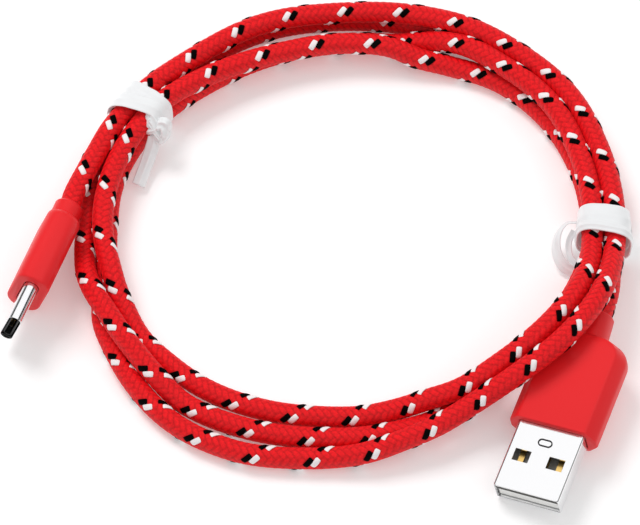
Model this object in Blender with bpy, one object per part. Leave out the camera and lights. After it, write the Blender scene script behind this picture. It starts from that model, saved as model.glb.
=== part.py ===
"""A one metre braided charging cable, coiled and tied, with a USB-A plug and a USB-C plug.

The coil lies flat on z = 0. Azimuths run counter-clockwise from +X, seen from above, about the coil's
own middle. Each plug has a frame of its own: +Y points out of its metal mouth, +X is across its wide
side, and y = 0 is the front face of its moulding, where the metal comes out.
"""

import math

import bpy
from mathutils import Matrix, Vector

MM = 0.001

# ---- Driving dimensions, millimetres and degrees -------------------------------------------------

CORD_DIAMETER = 3.8
CORD_RADIUS = CORD_DIAMETER / 2
GAP = 0.3
COIL_CENTRE = (4.79, 3.98)  # the coil's middle; the origin is under the middle of the whole object

# How the strands lie round the coil. Each row is an azimuth and the (radius, height) of the cord's
# middle on its first, second, third and fourth pass. The fourth pass ends at the left tie.
LAY = [
    (3.0, (47.0, 2.85), (43.1, 2.85), (43.1, 6.65), (47.0, 6.65)),
    (20.0, (47.5, 1.95), (43.6, 1.95), (43.7, 5.75), (47.5, 5.75)),
    (34.0, (47.6, 1.9), (43.6, 1.9), (44.5, 5.6), (48.3, 5.65)),
    (50.0, (47.0, 1.9), (42.6, 1.95), (44.0, 5.5), (47.9, 5.6)),
    (64.0, (47.1, 1.9), (40.4, 2.1), (43.9, 4.6), (47.5, 5.7)),
    (71.0, (46.9, 1.9), (39.3, 3.0), (43.2, 3.0), (46.9, 5.7)),
    (78.0, (46.6, 1.9), (39.3, 4.5), (42.0, 1.9), (46.3, 5.7)),
    (90.0, (46.3, 1.9), (39.1, 5.0), (41.3, 1.9), (45.5, 5.65)),
    (110.0, (46.4, 1.9), (39.0, 5.15), (40.9, 1.9), (45.7, 5.65)),
    (130.0, (45.7, 2.1), (40.5, 5.85), (41.2, 2.1), (45.2, 5.9)),
    (143.5, (45.9, 2.85), (42.0, 6.65), (42.0, 2.85), (45.9, 6.65)),
    (152.5, (46.5, 2.75), (42.6, 6.5), (42.6, 2.7), (46.5, 6.6)),
    (165.0, (47.1, 2.1), (43.4, 5.75), (43.3, 1.95), None),
    (180.0, (46.7, 2.1), (43.5, 5.65), (42.9, 1.9), None),
    (186.0, (46.9, 2.8), (43.2, 5.65), (43.1, 1.9), None),
    (192.0, (47.1, 4.4), (42.8, 5.6), (44.1, 1.9), None),
    (197.0, (46.8, 5.4), (42.7, 4.9), (45.3, 1.9), None),
    (202.0, (46.1, 5.7), (42.5, 3.7), (46.6, 1.9), None),
    (210.0, (45.4, 5.3), (42.2, 2.2), (47.3, 1.9), None),
    (220.0, (44.9, 3.9), (41.1, 1.9), (48.2, 1.9), None),
    (230.0, (44.7, 1.9), (40.3, 1.9), (48.8, 1.9), None),
    (245.0, (43.2, 1.9), (38.8, 1.9), (48.0, 1.9), None),
    (263.0, (41.5, 1.9), (37.3, 1.9), (45.5, 1.9), None),
    (273.0, (41.1, 1.9), (37.0, 1.95), (44.8, 2.9), None),
    (283.0, (40.7, 1.9), (36.8, 2.6), (43.7, 4.3), None),
    (291.0, (40.5, 1.9), (37.4, 4.2), (43.1, 5.1), None),
    (299.0, (40.2, 1.9), (38.5, 5.6), (42.5, 6.0), None),
    (311.0, (38.1, 1.9), (39.6, 8.2), (43.6, 9.4), None),
    (323.0, (38.5, 1.9), (41.3, 10.5), (45.4, 11.4), None),
    (337.0, (40.5, 1.95), (42.7, 10.3), (46.8, 11.2), None),
    (347.0, (42.0, 2.4), (43.1, 8.0), (47.0, 8.9), None),
    (354.0, (43.0, 2.85), (43.0, 6.65), (47.0, 6.8), None),
]
COIL_STATION = 5.0  # one section of the coil's solid every so many degrees
COIL_SIDES = 16
LIFTED = (304.0, 351.0)  # here the first pass runs apart, past the USB-A plug, outside the coil's solid
LOW_PASS = (309.0, 345.0)  # the solid of that free stretch
PARTED = (152.0, 174.0)  # here the second pass makes way for the tail that leaves the left tie

TIE_LEFT_AZIMUTH = 148.0
TIE_RIGHT_AZIMUTH = 358.5
TIE_LEFT_RADIUS = 44.15  # the middle of the bundle inside each tie
TIE_RIGHT_RADIUS = 45.1
TIE_INNER = (8.6, 8.3)
TIE_THICKNESS = 0.6
TIE_WIDTH = 6.2
TIE_STRIP = 2.6

# USB-A plug
PLUG_A_POINT = (34.88, -41.83, 4.5)  # middle of the moulding's front face, from the coil's middle
PLUG_A_HEADING = 21.6  # from -Y towards -X
PLUG_A_PITCH = 4.6  # nose down
PLUG_A_ROLL = 9.8  # the side away from the coil is lifted
A_MOULD = (16.0, 7.0, 18.6)
A_FLAT = 12.4
A_SHELL = (12.0, 4.5)
A_SHELL_WALL = 0.3
A_SHELL_OUT = 13.0
A_SHELL_IN = 7.0
A_WINDOW = (2.9, 2.3)
A_WINDOW_X = 3.1
A_WINDOW_FROM_MOUTH = 5.4
A_NECK_RADIUS = 3.0
A_NECK_END_RADIUS = 2.6
A_NECK_LENGTH = 5.4
A_CAVITY_END = 17.8
A_CONTACT_X = (-3.5, -1.0, 1.0, 3.5)
A_CONTACT_NAMES = ("vbus", "dminus", "dplus", "gnd")

# USB-C plug
PLUG_C_POINT = (-56.2, -14.9, 6.45)
PLUG_C_HEADING = 20.2
PLUG_C_PITCH = -1.7
PLUG_C_LEAN = 18.6  # it stands on its narrow edge, its top leaning towards the coil
C_MOULD = (11.5, 6.2, 15.6)
C_MOULD_CORNER = 2.6
C_SHELL = (8.34, 2.56)
C_SHELL_WALL = 0.2
C_SHELL_OUT = 7.6
C_SHELL_IN = 3.5
C_NECK_RADIUS = 2.6
C_NECK_LENGTH = 4.0
C_CAVITY_END = 14.2
C_CONTACT_PITCH = 0.5
C_UPPER_CONTACTS = {
    1: "gnd",
    4: "vbus",
    5: "cc",
    6: "dplus",
    7: "dminus",
    9: "vbus",
    12: "gnd",
}
C_LOWER_CONTACTS = {1: "gnd", 4: "vbus", 9: "vbus", 12: "gnd"}

BORE_RADIUS = CORD_RADIUS + 0.35
WIRE_NAMES = ("red", "white", "green", "black")

# Where each plug's free tail leaves its tie and swings, from the coil's middle
PIVOT_A = (46.1, -8.0)
PIVOT_C = (-42.3, 19.9)

# The tails' middle lines between the tie and the moulding's neck, from the coil's middle
TAIL_A_ROUTE = [(45.9, -9.2, 3.7), (45.6, -12.4, 5.0), (44.9, -16.0, 6.1)]
TAIL_C_ROUTE = [
    (-42.75, 19.0, 6.7),
    (-44.95, 14.55, 6.3),
    (-46.95, 10.1, 6.2),
    (-48.7, 6.0, 6.0),
]

# ---- Start with an empty scene -------------------------------------------------------------------

for item in list(bpy.data.objects):
    bpy.data.objects.remove(item, do_unlink=True)


# ---- Materials -----------------------------------------------------------------------------------


def material(name, colour, roughness, metallic=0.0):
    made = bpy.data.materials.new(name)
    made.use_nodes = True
    shader = made.node_tree.nodes["Principled BSDF"]
    shader.inputs["Base Color"].default_value = (*colour, 1.0)
    shader.inputs["Roughness"].default_value = roughness
    shader.inputs["Metallic"].default_value = metallic
    return made


BRAID = material("red_braid", (0.75, 0.01, 0.015), 0.7)
MOULD = material("red_moulding", (0.85, 0.04, 0.04), 0.45)
STEEL = material("bright_steel", (0.85, 0.85, 0.85), 0.15, 1.0)
SPRING_STEEL = material("spring_steel", (0.7, 0.7, 0.72), 0.3, 1.0)
GOLD = material("gold_plate", (0.95, 0.7, 0.3), 0.25, 1.0)
WHITE_PLASTIC = material("white_plastic", (0.85, 0.85, 0.82), 0.4)
BLACK_PLASTIC = material("black_plastic", (0.01, 0.01, 0.01), 0.5)
INNER_PLASTIC = material("inner_plastic", (0.75, 0.75, 0.7), 0.5)
BOARD_GREEN = material("board_green", (0.02, 0.18, 0.06), 0.5)
TIE_PLASTIC = material("tie_plastic", (0.9, 0.9, 0.9), 0.35)
WIRE_MATERIALS = {
    "red": material("wire_red", (0.7, 0.02, 0.02), 0.4),
    "white": material("wire_white", (0.85, 0.85, 0.85), 0.4),
    "green": material("wire_green", (0.02, 0.4, 0.08), 0.4),
    "black": material("wire_black", (0.01, 0.01, 0.01), 0.4),
}

# ---- Shapes --------------------------------------------------------------------------------------


def add_mesh(name, points, faces, look, parent=None, smooth=True):
    """A mesh object from points in millimetres."""
    mesh = bpy.data.meshes.new(name)
    mesh.from_pydata([Vector(p) * MM for p in points], [], faces)
    mesh.materials.append(look)
    mesh.update()
    if smooth:
        mesh.shade_smooth()
        mesh.set_sharp_from_angle(angle=math.radians(35))
    made = bpy.data.objects.new(name, mesh)
    bpy.context.collection.objects.link(made)
    made.parent = parent
    return made


def skin(sections, ring=False):
    """Points and outward faces of a body through outlines that turn clockwise seen from its far end.
    Its ends are flat, or it closes on itself."""
    count = len(sections[0])
    points = [p for section in sections for p in section]
    faces = []
    spans = len(sections) if ring else len(sections) - 1
    for i in range(spans):
        near = i * count
        far = (i + 1) % len(sections) * count
        for j in range(count):
            k = (j + 1) % count
            faces.append((near + j, far + j, far + k, near + k))
    if not ring:
        last = (len(sections) - 1) * count
        faces.append(tuple(range(count)))
        faces.append(tuple(last + j for j in reversed(range(count))))
    return points, faces


def rounded(half_x, half_z, corner, steps=3):
    """A rounded rectangle in X and Z, counter-clockwise seen from -Y."""
    corner = min(corner, 0.96 * min(half_x, half_z))
    outline = []
    for quarter, (sx, sz) in enumerate(((1, 1), (-1, 1), (-1, -1), (1, -1))):
        for step in range(steps + 1):
            turn = math.radians(90 * quarter + 90 * step / steps)
            x = sx * (half_x - corner) + corner * math.cos(turn)
            z = sz * (half_z - corner) + corner * math.sin(turn)
            outline.append((x, z))
    return outline


def bar(name, outline, low_y, high_y, look, parent=None, shift=(0.0, 0.0)):
    """An outline in X and Z, drawn along Y."""
    sections = []
    for y in (low_y, high_y):
        sections.append([(x + shift[0], y, z + shift[1]) for x, z in outline])
    return add_mesh(name, *skin(sections), look, parent)


def box(name, x, y, z, look, parent=None):
    """A block between two values on each axis."""
    outline = [(x[0], z[0]), (x[1], z[0]), (x[1], z[1]), (x[0], z[1])]
    return bar(name, outline, y[0], y[1], look, parent)


def sleeve(name, outer, inner, low_y, high_y, look, parent=None):
    """A tube along Y between two outlines with the same number of points, open at both ends."""
    count = len(outer)
    points = []
    for outline in (outer, inner):
        for y in (low_y, high_y):
            points += [(x, y, z) for x, z in outline]
    faces = []
    for j in range(count):
        k = (j + 1) % count
        faces.append((j, count + j, count + k, k))
        faces.append((2 * count + k, 3 * count + k, 3 * count + j, 2 * count + j))
        faces.append((j, k, 2 * count + k, 2 * count + j))
        faces.append((count + k, count + j, 3 * count + j, 3 * count + k))
    return add_mesh(name, points, faces, look, parent)


def tube(name, points, radius, look, resolution, parent=None):
    """A round cord through points, with filled ends."""
    curve = bpy.data.curves.new(name, "CURVE")
    curve.dimensions = "3D"
    curve.bevel_depth = radius * MM
    curve.bevel_resolution = resolution
    curve.resolution_u = 1
    curve.render_resolution_u = 0
    curve.use_fill_caps = True
    spline = curve.splines.new("POLY")
    spline.points.add(len(points) - 1)
    for place, point in zip(spline.points, points):
        place.co = (*(Vector(point) * MM), 1.0)
    curve.materials.append(look)
    made = bpy.data.objects.new(name, curve)
    bpy.context.collection.objects.link(made)
    made.parent = parent
    return made


def combine(body, other, operation):
    """A Boolean of body with other, which is only a tool."""
    other.hide_render = True
    other.display_type = "WIRE"
    step = body.modifiers.new(other.name, "BOOLEAN")
    step.operation = operation
    step.object = other
    step.solver = "EXACT"


def smooth_path(route, spacing):
    """Points about a spacing apart on a smooth curve through the route's points."""
    spots = [Vector(p) for p in route]
    spots = [2 * spots[0] - spots[1], *spots, 2 * spots[-1] - spots[-2]]
    path = []
    for i in range(1, len(spots) - 2):
        before, start, end, after = spots[i - 1 : i + 3]
        steps = max(1, round((end - start).length / spacing))
        for step in range(steps):
            t = step / steps
            bend = (2 * before - 5 * start + 4 * end - after) * t * t
            twist = (3 * start - before - 3 * end + after) * t**3
            path.append((2 * start + (end - before) * t + bend + twist) / 2)
    return [*path, spots[-2]]


# ---- Frames --------------------------------------------------------------------------------------


def frame_at(name, point, parent=None, turn=None):
    """An empty that other pieces hang on."""
    made = bpy.data.objects.new(name, None)
    bpy.context.collection.objects.link(made)
    made.parent = parent
    made.location = Vector(point) * MM
    if turn is not None:
        made.rotation_euler = turn.to_euler()
    return made


def heading_turn(heading, pitch, roll):
    """The turn from a plug's own frame to the coil's."""
    yaw = Matrix.Rotation(math.radians(180 - heading), 3, "Z")
    nose = Matrix.Rotation(math.radians(-pitch), 3, "X")
    return yaw @ nose @ Matrix.Rotation(math.radians(roll), 3, "Y")


coil_frame = frame_at("coil_frame", (*COIL_CENTRE, 0.0))
swing_a = frame_at("swing_a", (*PIVOT_A, 0.0), coil_frame)
swing_c = frame_at("swing_c", (*PIVOT_C, 0.0), coil_frame)
turn_a = heading_turn(PLUG_A_HEADING, PLUG_A_PITCH, PLUG_A_ROLL)
turn_c = heading_turn(PLUG_C_HEADING, PLUG_C_PITCH, 90.0 - PLUG_C_LEAN)
plug_a = frame_at("plug_a", Vector(PLUG_A_POINT) - Vector((*PIVOT_A, 0)), swing_a, turn_a)
plug_c = frame_at("plug_c", Vector(PLUG_C_POINT) - Vector((*PIVOT_C, 0)), swing_c, turn_c)


# ---- The coil ------------------------------------------------------------------------------------


def strand(number):
    """The (azimuth, radius, height) rows that one pass follows, with the end of the pass before it
    and the start of the pass after it."""
    rows = []
    for turn in (number - 1, number, number + 1):
        for azimuth, *places in LAY:
            if 0 <= turn < len(places) and places[turn] is not None:
                rows.append((azimuth + 360 * (turn - number), *places[turn]))
    return rows


STRANDS = [strand(number) for number in range(4)]


def strand_at(number, azimuth):
    """The (radius, height) of a pass at an azimuth, on smooth curves between its rows."""
    rows = STRANDS[number]
    last = len(rows) - 1
    i = max(0, min(last - 1, sum(row[0] <= azimuth for row in rows) - 1))
    span = rows[i + 1][0] - rows[i][0]
    t = (azimuth - rows[i][0]) / span
    found = []
    for axis in (1, 2):
        slopes = []
        for j in (i, i + 1):
            low, high = rows[max(0, j - 1)], rows[min(last, j + 1)]
            slopes.append((high[axis] - low[axis]) / (high[0] - low[0]) * span)
        a, b = rows[i][axis], rows[i + 1][axis]
        ease = t * t * (3 - 2 * t)
        start, end = slopes[0] * t * (1 - t) ** 2, slopes[1] * t * t * (t - 1)
        found.append(a + (b - a) * ease + start + end)
    return found[0], max(found[1], CORD_RADIUS)


def passes_at(azimuth):
    """The passes that the coil's solid holds at an azimuth."""
    held = [0, 1, 2]
    if LIFTED[0] < azimuth < LIFTED[1]:
        held.remove(0)
    if PARTED[0] < azimuth < PARTED[1]:
        held.remove(1)
    places = [strand_at(number, azimuth) for number in held]
    if azimuth < PARTED[0]:
        places.append(strand_at(3, azimuth))
    if azimuth > LIFTED[1]:
        places.append(strand_at(0, azimuth - 360))
    return places


def bundle_outline(places):
    """The outline round strands, as far out as they reach in each of a few directions."""
    directions = []
    for side in range(COIL_SIDES):
        turn = 2 * math.pi * side / COIL_SIDES
        directions.append(Vector((math.cos(turn), math.sin(turn))))
    reaches = []
    for direction in directions:
        reaches.append(max(Vector(p).dot(direction) for p in places) + CORD_RADIUS)
    corners = []
    for side in range(COIL_SIDES):
        one, two = directions[side - 1], directions[side]
        cross = one.x * two.y - one.y * two.x
        r = (reaches[side - 1] * two.y - reaches[side] * one.y) / cross
        z = (reaches[side] * one.x - reaches[side - 1] * two.x) / cross
        corners.append((r, max(z, 0.0)))
    return corners


def cable_coil():
    """The outer shape of all the turns, as one closed ring."""
    sections = []
    for station in range(round(360 / COIL_STATION)):
        azimuth = station * COIL_STATION
        corners = bundle_outline(passes_at(azimuth))
        turn = math.radians(azimuth)
        sections.append([(r * math.cos(turn), r * math.sin(turn), z) for r, z in corners])
    return add_mesh("cable_coil", *skin(sections, ring=True), BRAID, coil_frame)


def cable_low_pass():
    """The stretch of the first pass that runs on the floor, apart from the coil's lifted turns."""
    path = []
    azimuth = LOW_PASS[0]
    while azimuth <= LOW_PASS[1]:
        r, z = strand_at(0, azimuth)
        turn = math.radians(azimuth)
        path.append((r * math.cos(turn), r * math.sin(turn), z))
        azimuth += 3.0
    return tube("cable_low_pass", path, CORD_RADIUS, BRAID, 2, coil_frame)


# ---- The tails -----------------------------------------------------------------------------------


def along_plug(point, heading, pitch, back):
    """A point on a plug's own axis, behind its front face, from the coil's middle."""
    flat = math.cos(math.radians(pitch)) * back
    turn = math.radians(heading)
    x = point[0] + flat * math.sin(turn)
    y = point[1] + flat * math.cos(turn)
    return (x, y, point[2] + math.sin(math.radians(pitch)) * back)


def tail(name, route, point, heading, pitch, backs, pivot, parent):
    """The cord from its tie into its plug, which swings with the plug."""
    ends = [along_plug(point, heading, pitch, back) for back in backs]
    path = smooth_path([*route, *ends], 2 * CORD_DIAMETER / 3)
    moved = [p - Vector((*pivot, 0)) for p in path]
    return tube(name, moved, CORD_RADIUS, BRAID, 2, parent)


# ---- USB-A plug ----------------------------------------------------------------------------------


def a_outline(half_x, half_z, flat):
    """The moulding's section: flat top and bottom, with a wide slope down to each side."""
    side = 0.32 * half_z
    top = [(half_x, side), (flat, half_z), (flat / 3, half_z)]
    right = [(half_x, -side), *top]
    left = [(-x, z) for x, z in reversed(top)]
    under = [(-x, -z) for x, z in top]
    last = [(x, -z) for x, z in reversed(top[1:])]
    return [*right, *left, *under, *last]


def a_round(radius):
    """A round section with as many points as the moulding's."""
    outline = []
    for turn in (-15, 15, 45, 75, 105, 135, 165, 195, 225, 255, 285, 315):
        angle = math.radians(turn)
        outline.append((radius * math.cos(angle), radius * math.sin(angle)))
    return outline


def usb_a_overmould():
    width, height, length = A_MOULD
    rear_round = 3.6
    slope = (width - A_FLAT) / 2
    rows = [(0.0, width / 2 - 0.3, height / 2 - 0.3), (-0.4, width / 2, height / 2)]
    for step in range(6):
        turn = math.radians(90 * step / 5)
        half = width / 2 - rear_round * (1 - math.cos(turn))
        sink = 0.35 * (1 - math.cos(turn))
        rows.append((-length + rear_round * (1 - math.sin(turn)), half, height / 2 - sink))
    sections = []
    for y, half_x, half_z in rows:
        flat = max(half_x - slope, 0.55 * half_x)
        sections.append([(x, y, z) for x, z in a_outline(half_x, half_z, flat)])
    neck_end = -length - A_NECK_LENGTH
    for y, radius in (
        (-length - 0.3, A_NECK_RADIUS),
        (neck_end + 0.3, A_NECK_END_RADIUS),
        (neck_end, A_NECK_END_RADIUS - 0.1),
    ):
        sections.append([(x, y, z) for x, z in a_round(radius)])
    sections.reverse()
    body = add_mesh("usb_a_overmould", *skin(sections), MOULD, plug_a)
    hollow = rounded(A_SHELL[0] / 2 + GAP, A_SHELL[1] / 2 + GAP, 0.7, 2)
    pocket = bar("usb_a_pocket", hollow, -A_CAVITY_END, 1.0, MOULD, plug_a)
    combine(body, pocket, "DIFFERENCE")
    hole = rounded(BORE_RADIUS, BORE_RADIUS, BORE_RADIUS, 3)
    bore = bar("usb_a_bore", hole, neck_end - 1.0, -A_CAVITY_END + 0.6, MOULD, plug_a)
    combine(body, bore, "DIFFERENCE")
    return body


def usb_a_shell():
    half_x, half_z = A_SHELL[0] / 2, A_SHELL[1] / 2
    outer = rounded(half_x, half_z, 0.4)
    inner = rounded(half_x - A_SHELL_WALL, half_z - A_SHELL_WALL, 0.2)
    body = sleeve("usb_a_shell", outer, inner, -A_SHELL_IN, A_SHELL_OUT, STEEL, plug_a)
    front = A_SHELL_OUT - A_WINDOW_FROM_MOUTH
    for side in (-1, 1):
        middle = side * A_WINDOW_X
        across = (middle - A_WINDOW[0] / 2, middle + A_WINDOW[0] / 2)
        name = f"usb_a_window_{'left' if side < 0 else 'right'}"
        opening = box(name, across, (front - A_WINDOW[1], front), (-3.0, 3.0), STEEL, plug_a)
        combine(body, opening, "DIFFERENCE")
    return body


def usb_a_insulator():
    half_x = A_SHELL[0] / 2 - A_SHELL_WALL - GAP
    half_z = A_SHELL[1] / 2 - A_SHELL_WALL - GAP
    tongue_top, block_front, tip, rear = 0.05, 0.6, A_SHELL_OUT - 0.5, -A_SHELL_IN + 0.3
    profile = [
        (rear, -half_z),
        (tip, -half_z),
        (tip, tongue_top),
        (block_front, tongue_top),
        (block_front, half_z),
        (rear, half_z),
    ]
    sections = [[(x, y, z) for y, z in profile] for x in (half_x, -half_x)]
    body = add_mesh("usb_a_insulator", *skin(sections), WHITE_PLASTIC, plug_a)
    way = box("usb_a_way", (-4.3, 4.3), (rear - 1, block_front + 1), (0.0, 1.0), STEEL, plug_a)
    combine(body, way, "DIFFERENCE")
    return body


def usb_a_contacts():
    for x, name in zip(A_CONTACT_X, A_CONTACT_NAMES):
        outer = abs(x) > 2
        tip = A_SHELL_OUT - (1.5 if outer else 2.5)
        across = (x - 0.5, x + 0.5)
        box(f"usb_a_contact_{name}", across, (-8.6, tip), (0.35, 0.6), GOLD, plug_a)


def usb_a_wires():
    ends = ((-0.62, -0.62), (-0.62, 0.62), (0.62, 0.62), (0.62, -0.62))
    for start, end, name in zip(A_CONTACT_X, ends, WIRE_NAMES):
        path = [
            (start, -9.1, 0.45),
            (start, -10.0, 0.45),
            (start + 0.5 * (end[0] - start), -12.8, 0.45 + 0.5 * (end[1] - 0.45)),
            (end[0], -15.8, end[1]),
            (end[0], -17.3, end[1]),
        ]
        tube(f"usb_a_wire_{name}", path, 0.45, WIRE_MATERIALS[name], 1, plug_a)


def usb_a_inner_mould():
    outer = rounded(A_SHELL[0] / 2, A_SHELL[1] / 2, 0.5, 2)
    inner = rounded(4.7, 1.4, 0.4, 2)
    sleeve("usb_a_inner_mould", outer, inner, -17.4, -7.4, INNER_PLASTIC, plug_a)


# ---- USB-C plug ----------------------------------------------------------------------------------


def usb_c_overmould():
    width, height, length = C_MOULD
    half_x, half_z = width / 2, height / 2
    rows = [
        (0.0, half_x - 0.3, half_z - 0.3, C_MOULD_CORNER),
        (-0.4, half_x, half_z, C_MOULD_CORNER),
        (-length + 1.2, half_x, half_z, C_MOULD_CORNER),
        (-length + 0.5, half_x - 0.4, half_z - 0.15, C_MOULD_CORNER),
        (-length, half_x - 1.4, half_z - 0.35, C_MOULD_CORNER),
        (-length - 0.2, C_NECK_RADIUS, C_NECK_RADIUS, C_NECK_RADIUS),
        (-length - C_NECK_LENGTH + 0.4, C_NECK_RADIUS, C_NECK_RADIUS, C_NECK_RADIUS),
        (-length - C_NECK_LENGTH, C_NECK_RADIUS - 0.3, C_NECK_RADIUS - 0.3, C_NECK_RADIUS),
    ]
    sections = []
    for y, across, up, corner in reversed(rows):
        sections.append([(x, y, z) for x, z in rounded(across, up, corner)])
    body = add_mesh("usb_c_overmould", *skin(sections), MOULD, plug_c)
    room = bar("usb_c_room", rounded(5.25, 2.7, 1.6, 2), -C_CAVITY_END, -1.5, MOULD, plug_c)
    mouth = rounded(C_SHELL[0] / 2 + GAP, C_SHELL[1] / 2 + GAP, 1.55, 4)
    hole = bar("usb_c_mouth", mouth, -1.8, 1.0, MOULD, plug_c)
    round_hole = rounded(BORE_RADIUS, BORE_RADIUS, BORE_RADIUS, 3)
    rear = -length - C_NECK_LENGTH - 1.0
    bore = bar("usb_c_bore", round_hole, rear, -C_CAVITY_END + 0.3, MOULD, plug_c)
    for tool in (room, hole, bore):
        combine(body, tool, "DIFFERENCE")
    return body


def usb_c_shell():
    half_x, half_z = C_SHELL[0] / 2, C_SHELL[1] / 2
    outer = rounded(half_x, half_z, half_z, 5)
    inner = rounded(half_x - C_SHELL_WALL, half_z - C_SHELL_WALL, half_z, 5)
    sleeve("usb_c_shell", outer, inner, -C_SHELL_IN, C_SHELL_OUT, STEEL, plug_c)


def usb_c_housing():
    outer = rounded(3.7, 0.8, 0.7, 3)
    inner = rounded(3.45, 0.55, 0.3, 3)
    tip = C_SHELL_OUT - 0.6
    sleeve("usb_c_housing", outer, inner, -C_SHELL_IN + 0.2, tip, BLACK_PLASTIC, plug_c)


def usb_c_latch():
    """The U-shaped spring whose two arms grip the socket's tongue."""
    body = box("usb_c_latch", (-3.2, 3.2), (-3.2, -2.8), (-0.1, 0.1), SPRING_STEEL, plug_c)
    for side in (-1, 1):
        across = sorted((side * 3.0, side * 3.2))
        name = f"usb_c_arm_{'left' if side < 0 else 'right'}"
        arm = box(name, across, (-3.1, 5.6), (-0.3, 0.3), SPRING_STEEL, plug_c)
        combine(body, arm, "UNION")
    return body


def usb_c_contacts():
    rows = (("a", C_UPPER_CONTACTS, 1), ("b", C_LOWER_CONTACTS, -1))
    for letter, contacts, side in rows:
        height = sorted((side * 0.25, side * 0.42))
        for number, job in contacts.items():
            x = side * (number - 6.5) * C_CONTACT_PITCH
            name = f"usb_c_contact_{letter}{number}_{job}"
            box(name, (x - 0.12, x + 0.12), (-5.0, 4.4), height, GOLD, plug_c)


def usb_c_board():
    box("usb_c_board", (-4.1, 4.1), (-11.6, -5.4), (-0.4, 0.4), BOARD_GREEN, plug_c)
    box("usb_c_resistor", (1.2, 2.2), (-7.8, -7.3), (0.7, 1.05), BLACK_PLASTIC, plug_c)


def usb_c_wires():
    for name, (side, level) in zip(WIRE_NAMES, ((-1, 1), (1, 1), (-1, -1), (1, -1))):
        path = [
            (side * 2.2, -8.9, level * 1.12),
            (side * 1.9, -11.6, level * 1.12),
            (side * 1.2, -12.9, level * 0.95),
            (side * 0.62, -14.5, level * 0.62),
        ]
        tube(f"usb_c_wire_{name}", path, 0.4, WIRE_MATERIALS[name], 1, plug_c)


def usb_c_inner_mould():
    outer = rounded(4.95, 2.4, 1.3, 2)
    inner = rounded(4.4, 1.75, 0.8, 2)
    sleeve("usb_c_inner_mould", outer, inner, -13.9, -4.0, INNER_PLASTIC, plug_c)


# ---- The ties ------------------------------------------------------------------------------------


def tie_band(name, azimuth, radius):
    """The strip's turns round the bundle. Its own X points away from the coil's middle."""
    turn = math.radians(azimuth)
    place = (radius * math.cos(turn), radius * math.sin(turn), 0.0)
    level = TIE_THICKNESS + TIE_INNER[1] / 2
    outer_x, outer_z = TIE_INNER[0] / 2 + TIE_THICKNESS, TIE_INNER[1] / 2 + TIE_THICKNESS
    outer = [(x, z + level) for x, z in rounded(outer_x, outer_z, 2.0)]
    inner = [(x, z + level) for x, z in rounded(TIE_INNER[0] / 2, TIE_INNER[1] / 2, 1.4)]
    body = sleeve(name, outer, inner, -TIE_WIDTH / 2, TIE_WIDTH / 2, TIE_PLASTIC, coil_frame)
    body.location = Vector(place) * MM
    body.rotation_euler = (0.0, 0.0, turn)
    return body


def strip(name, path, low_z, high_z, thickness):
    """A strip that stands on its edge, along a path seen from above, from the coil's middle."""
    count = len(path)
    left, right = [], []
    for i, point in enumerate(path):
        before, after = Vector(path[max(i - 1, 0)]), Vector(path[min(i + 1, count - 1)])
        along = (after - before).normalized()
        across = Vector((-along.y, along.x)) * thickness / 2
        left.append(Vector(point) + across)
        right.append(Vector(point) - across)
    outline = [*right, *reversed(left)]
    sections = [[(p.x, p.y, z) for p in outline] for z in (high_z, low_z)]
    return add_mesh(name, *skin(sections), TIE_PLASTIC, coil_frame)


def lump(name, middle, size):
    """A knot: a rounded lump through stacked eight-sided sections."""
    sections = []
    for level, share in ((1.0, 0.45), (0.55, 0.88), (0.0, 1.0), (-0.55, 0.88), (-1.0, 0.45)):
        section = []
        for step in range(8):
            turn = math.radians(45 * step)
            x = middle[0] + size[0] * share * math.cos(turn)
            y = middle[1] + size[1] * share * math.sin(turn)
            section.append((x, y, middle[2] + size[2] * level))
        sections.append(section)
    return add_mesh(name, *skin(sections), TIE_PLASTIC, coil_frame)


def tie_left():
    """Two turns, a twisted knot on the coil's inner side, and the strip's cut end on the floor."""
    body = tie_band("tie_left", TIE_LEFT_AZIMUTH, TIE_LEFT_RADIUS)
    knot = lump("tie_left_knot", (-31.9, 19.8, 4.0), (2.6, 2.8, 2.6))
    end = strip("tie_left_end", [(-32.4, 18.8), (-34.9, 14.9), (-37.2, 10.9)], 0.4, 1.6, TIE_STRIP)
    combine(body, knot, "UNION")
    combine(body, end, "UNION")
    return body


def tie_right():
    """Turns round the bundle, with one end in a loop inside the coil and the other outside it."""
    body = tie_band("tie_right", TIE_RIGHT_AZIMUTH, TIE_RIGHT_RADIUS)
    loop = [(40.4, -0.6), (37.9, -0.5), (36.2, -1.9), (35.9, -4.3), (37.0, -6.7), (38.6, -7.9)]
    curl = strip("tie_right_curl", loop, 0.4, 3.4, 0.7)
    end = strip("tie_right_end", [(49.6, -1.8), (51.0, -4.2), (50.6, -6.6)], 0.4, 3.2, 0.7)
    combine(body, curl, "UNION")
    combine(body, end, "UNION")
    return body


# ---- Build ---------------------------------------------------------------------------------------

cable_coil()
cable_low_pass()
tail(
    "cable_tail_a",
    TAIL_A_ROUTE,
    PLUG_A_POINT,
    PLUG_A_HEADING,
    PLUG_A_PITCH,
    (A_MOULD[2] + A_NECK_LENGTH, A_CAVITY_END + 0.4),
    PIVOT_A,
    swing_a,
)
tail(
    "cable_tail_c",
    TAIL_C_ROUTE,
    PLUG_C_POINT,
    PLUG_C_HEADING,
    PLUG_C_PITCH,
    (C_MOULD[2] + C_NECK_LENGTH, C_CAVITY_END + 0.6),
    PIVOT_C,
    swing_c,
)
usb_a_overmould()
usb_a_shell()
usb_a_insulator()
usb_a_contacts()
usb_a_wires()
usb_a_inner_mould()
usb_c_overmould()
usb_c_shell()
usb_c_housing()
usb_c_latch()
usb_c_contacts()
usb_c_board()
usb_c_wires()
usb_c_inner_mould()
tie_left()
tie_right()
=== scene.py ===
"""The looks of a coiled, braided charging cable with a USB-A plug and a USB-C plug."""

import math

import bpy
import numpy as np
from mathutils import Matrix, Vector, noise


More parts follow.
